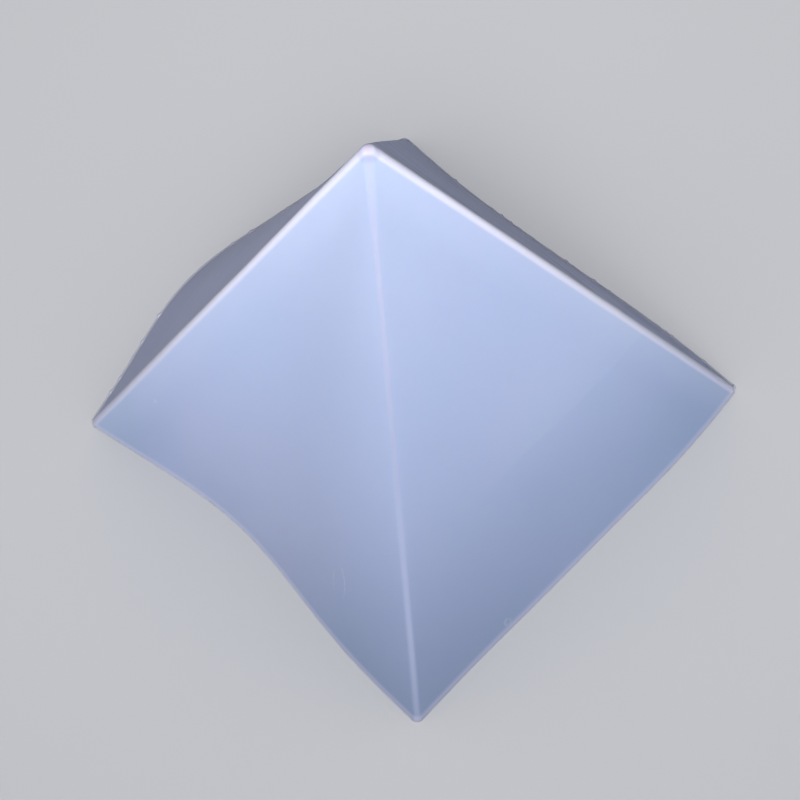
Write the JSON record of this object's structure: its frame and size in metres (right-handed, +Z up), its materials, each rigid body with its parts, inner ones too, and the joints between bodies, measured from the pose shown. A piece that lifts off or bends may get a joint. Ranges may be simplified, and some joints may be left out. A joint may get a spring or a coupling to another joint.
{
  "type": "resin casting mould",
  "caption": "Hollow square-pyramid mould in soft translucent silicone: four thin gently bowed walls, rounded ridges and tip, sharp cavity and an open flat rim.",
  "frame": {"origin": "middle of the footprint, on the surface that the rim stands on", "axes": "+Z up through the closed tip, -Y out of the front wall (bowed in), -X out of the left wall (bowed out, which makes X the longest extent)"},
  "size_m": [0.1732, 0.1564, 0.1525],
  "materials": {
    "silicone": "satin translucent milky blue-white silicone"
  },
  "bodies": {
    "root": {"mould_shell": "silicone"}
  },
  "joints": []
}
